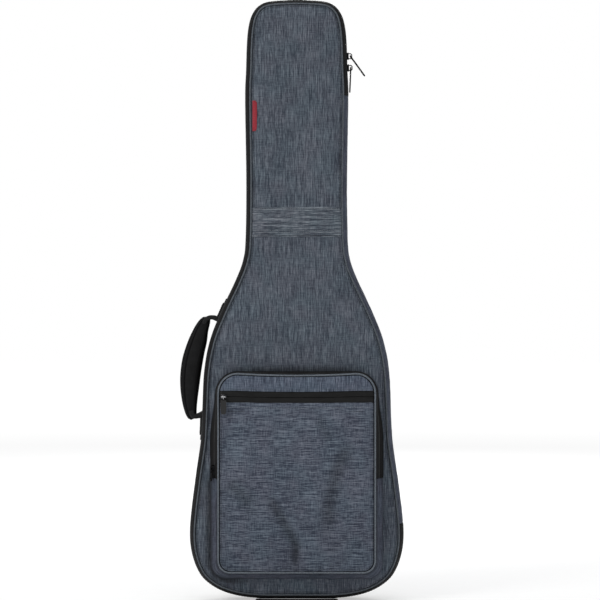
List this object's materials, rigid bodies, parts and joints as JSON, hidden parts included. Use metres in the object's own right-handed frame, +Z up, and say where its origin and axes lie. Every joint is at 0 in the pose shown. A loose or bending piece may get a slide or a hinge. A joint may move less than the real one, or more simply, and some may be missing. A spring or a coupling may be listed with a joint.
{
  "type": "padded gig bag",
  "caption": "Tall padded carrying bag for an electric guitar: hinged front cover, zip round the edge, boxed accessory pocket, side grab handle and shoulder straps.",
  "frame": {"origin": "underside of the base pad, on the bag's centre line and between its front and back faces", "axes": "+Z up towards the headstock end, -Y out of the front cover and its pocket, +X to the spine side, right as seen from the front"},
  "size_m": [0.4026, 0.1377, 1.0818],
  "materials": {
    "heather_fabric": "blue-grey two-tone heather polyester, flat weave",
    "black_nylon": "black nylon, fine weave",
    "foam_padding": "closed-cell foam with a brushed skin",
    "lining": "soft brushed lining",
    "piping_cord": "grey woven piping over a cord",
    "zip_tape": "black woven zip tape",
    "zip_chain": "black nylon coil",
    "webbing": "black ribbed webbing",
    "moulded_rubber": "black moulded rubber, fine texture",
    "red_label": "blank woven red tag",
    "gunmetal": "dark zinc alloy, satin",
    "bright_metal": "plated zinc alloy",
    "black_plastic": "black acetal"
  },
  "bodies": {
    "shell": {"back_panel": "black_nylon", "back_foam": "foam_padding", "back_lining": "lining", "gusset_rear": "black_nylon", "spine_rear": "heather_fabric", "gusset_rear_foam": "foam_padding", "rear_piping": "black_nylon", "zip_tape_rear": "zip_tape", "zip_coil_rear": "zip_chain", "base_pad_rear": "moulded_rubber", "hang_loop": "webbing", "handle_tab_upper": "webbing", "handle_tab_lower": "webbing", "neck_rest": "foam_padding", "end_pin_pad": "moulded_rubber", "strap_yoke": "black_nylon", "strap_anchor_left": "black_nylon", "strap_anchor_right": "black_nylon", "strap_webbing_left": "webbing", "strap_webbing_right": "webbing"},
    "cover": {"front_panel": "heather_fabric", "front_foam": "foam_padding", "front_lining": "lining", "gusset_front": "black_nylon", "spine_front": "heather_fabric", "gusset_front_foam": "foam_padding", "front_piping": "piping_cord", "zip_tape_front": "zip_tape", "zip_coil_front": "zip_chain", "base_pad_front": "moulded_rubber", "cross_band": "heather_fabric", "label_tag": "red_label", "pocket_gusset_lower": "heather_fabric", "side_zip_tape_rear": "zip_tape", "pocket_piping_lower": "piping_cord", "pocket_panel_lower": "heather_fabric"},
    "pocket_flap": {"side_zip_tape_front": "zip_tape", "pocket_piping_upper": "piping_cord", "pocket_panel_mid": "heather_fabric", "pocket_zip_tape_lower": "zip_tape", "pocket_zip_tape_upper": "zip_tape", "pocket_panel_top": "heather_fabric"},
    "lower_slider": {"main_slider_lower": "gunmetal"},
    "lower_pull": {"main_pull_lower": "gunmetal"},
    "upper_slider": {"main_slider_upper": "gunmetal"},
    "upper_pull": {"main_pull_upper": "gunmetal"},
    "pocket_runner": {"pocket_slider": "bright_metal"},
    "pocket_pull": {"pocket_pull_ring": "bright_metal", "pocket_pull_tab": "moulded_rubber"},
    "side_runner": {"side_slider": "gunmetal"},
    "side_zip_pull": {"side_pull": "gunmetal"},
    "handle": {"handle_grip": "black_nylon", "handle_link_upper": "webbing", "handle_link_lower": "webbing"},
    "neck_strap": {"neck_strap": "webbing"},
    "strap_left": {"shoulder_pad_left": "black_nylon"},
    "strap_right": {"shoulder_pad_right": "black_nylon"},
    "lock_left": {"ladder_lock_left": "black_plastic"},
    "lock_right": {"ladder_lock_right": "black_plastic"}
  },
  "joints": [
    {"name": "cover_spine", "type": "hinge", "parent": "shell", "child": "cover", "pos_m": [0.15185, -0.012, 0.599], "axis": [-0.0877, 0, 0.9962], "range_deg": [0, 175]},
    {"name": "lower_slider_run", "type": "slide", "parent": "shell", "child": "lower_slider", "axis": [-0.032, 0, 0.9995], "range_m": [-0.028, 0]},
    {"name": "lower_pull_swing", "type": "hinge", "parent": "lower_slider", "child": "lower_pull", "pos_m": [0.09709, -0.012, 0.95677], "axis": [0, -1, 0], "range_deg": [-1, 50]},
    {"name": "upper_slider_run", "type": "slide", "parent": "lower_slider", "child": "upper_slider", "axis": [-0.032, 0, 0.9995], "range_m": [0, 0.013]},
    {"name": "upper_pull_swing", "type": "hinge", "parent": "upper_slider", "child": "upper_pull", "pos_m": [0.09641, -0.012, 0.97777], "axis": [0, -1, 0], "range_deg": [-15, 112]},
    {"name": "pocket_flap_fold", "type": "hinge", "parent": "cover", "child": "pocket_flap", "pos_m": [0, -0.0738, 0.216], "axis": [1, 0, 0], "range_deg": [0, 65]},
    {"name": "pocket_zip_run", "type": "slide", "parent": "pocket_flap", "child": "pocket_runner", "axis": [1, 0, 0], "range_m": [0, 0.256]},
    {"name": "pocket_pull_swing", "type": "hinge", "parent": "pocket_runner", "child": "pocket_pull", "pos_m": [-0.1295, -0.0806, 0.3678], "axis": [-1, 0, 0], "range_deg": [-6, 135]},
    {"name": "side_zip_run", "type": "slide", "parent": "cover", "child": "side_runner", "axis": [0, 0, 1], "range_m": [0, 0.125]},
    {"name": "side_pull_swing", "type": "hinge", "parent": "side_runner", "child": "side_zip_pull", "pos_m": [-0.1505, -0.05894, 0.2405], "axis": [-0.363, 0.9318, 0], "range_deg": [-8, 125]},
    {"name": "handle_swing", "type": "hinge", "parent": "shell", "child": "handle", "pos_m": [-0.1591, 0.01, 0.418], "axis": [0.1644, 0, 0.9864], "range_deg": [-35, 35]},
    {"name": "neck_strap_lift", "type": "hinge", "parent": "shell", "child": "neck_strap", "pos_m": [-0.0445, 0.011, 0.74], "axis": [0, 0, -1], "range_deg": [0, 22]},
    {"name": "shoulder_strap_left", "type": "hinge", "parent": "shell", "child": "strap_left", "pos_m": [-0.034, 0.043, 0.648], "axis": [1, 0, 0], "range_deg": [0, 35]},
    {"name": "ladder_lock_tilt_left", "type": "hinge", "parent": "strap_left", "child": "lock_left", "pos_m": [-0.08321, 0.046, 0.28659], "axis": [0.9624, 0, -0.2716], "range_deg": [0, 40]},
    {"name": "shoulder_strap_right", "type": "hinge", "parent": "shell", "child": "strap_right", "pos_m": [0.034, 0.043, 0.648], "axis": [1, 0, 0], "range_deg": [0, 35]},
    {"name": "ladder_lock_tilt_right", "type": "hinge", "parent": "strap_right", "child": "lock_right", "pos_m": [0.08321, 0.046, 0.28659], "axis": [0.9624, 0, 0.2716], "range_deg": [0, 40]}
  ]
}
